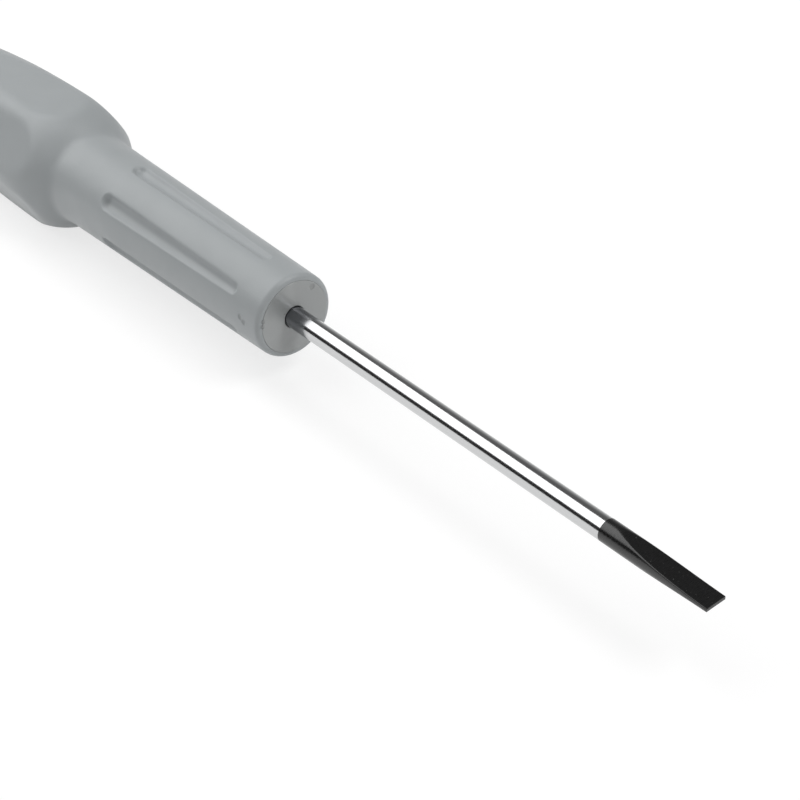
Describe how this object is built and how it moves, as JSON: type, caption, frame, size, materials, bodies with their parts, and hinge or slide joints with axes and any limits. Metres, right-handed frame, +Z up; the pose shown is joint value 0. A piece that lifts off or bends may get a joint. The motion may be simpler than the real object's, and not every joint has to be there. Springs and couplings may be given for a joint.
{
  "type": "precision screwdriver",
  "caption": "Slotted precision screwdriver: fixed round blade with blackened hollow-ground tip, tapering grooved handle that flares into a faceted grip, and a free-spinning end cap.",
  "frame": {"origin": "middle of the blade's end face", "axes": "+X along the blade, out of its end; +Z up, square to the blade's flats, with the handle's rest flat below"},
  "size_m": [0.1704, 0.0206, 0.0186],
  "materials": {
    "blade_steel": "bright chrome plating, with the last 16.5 mm blackened",
    "core_plastic": "satin moulded",
    "grip_plastic": "satin moulded",
    "bearing_brass": "turned",
    "bearing_steel": "turned and polished",
    "cap_plastic": "satin moulded",
    "pad_plastic": "fine matte moulded"
  },
  "bodies": {
    "handle": {"blade": "blade_steel", "handle_core": "core_plastic", "handle_grip": "grip_plastic", "spindle_bush": "bearing_brass", "thrust_ball": "bearing_steel"},
    "cap": {"swivel_cap": "cap_plastic", "cap_pad": "pad_plastic", "cap_spindle": "bearing_steel", "spindle_clip": "bearing_steel"}
  },
  "joints": [
    {"name": "cap_spin", "type": "hinge", "parent": "handle", "child": "cap", "pos_m": [-0.1634, 0, 0], "axis": [1, 0, 0], "continuous": true}
  ]
}
